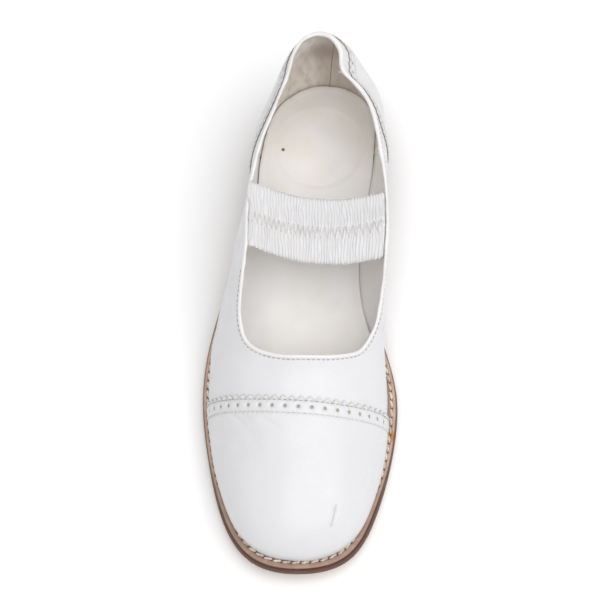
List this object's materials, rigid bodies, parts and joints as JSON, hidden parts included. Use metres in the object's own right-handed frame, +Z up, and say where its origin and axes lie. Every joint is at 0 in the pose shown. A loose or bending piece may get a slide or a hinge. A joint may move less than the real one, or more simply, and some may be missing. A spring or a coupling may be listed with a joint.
{
  "type": "heeled shoe",
  "caption": "Slip-on leather shoe with a round capped toe, a gathered strap over the instep, a welted sole and a low stacked heel, for the right foot.",
  "frame": {"origin": "on the ground, under the middle of the shoe's bounding box", "axes": "+Z up from the ground, +Y towards the heel, -Y towards the toe, +X towards the medial side of this right shoe"},
  "size_m": [0.0977, 0.2613, 0.0905],
  "materials": {
    "outsole_leather": "waxed edge, satin",
    "heel_leather": "stacked layers with a waxed edge, satin",
    "welt_leather": "natural veg-tanned, matte",
    "upper_leather": "smooth glossy white",
    "cap_leather": "smooth glossy white",
    "counter_leather": "smooth glossy white",
    "strap_leather": "gathered soft leather over elastic, satin",
    "insole_leather": "off-white, matte"
  },
  "bodies": {
    "root": {"outsole": "outsole_leather", "heel": "heel_leather", "welt": "welt_leather", "upper": "upper_leather", "toe_cap": "cap_leather", "heel_counter": "counter_leather", "instep_strap": "strap_leather", "insole": "insole_leather"}
  },
  "joints": []
}
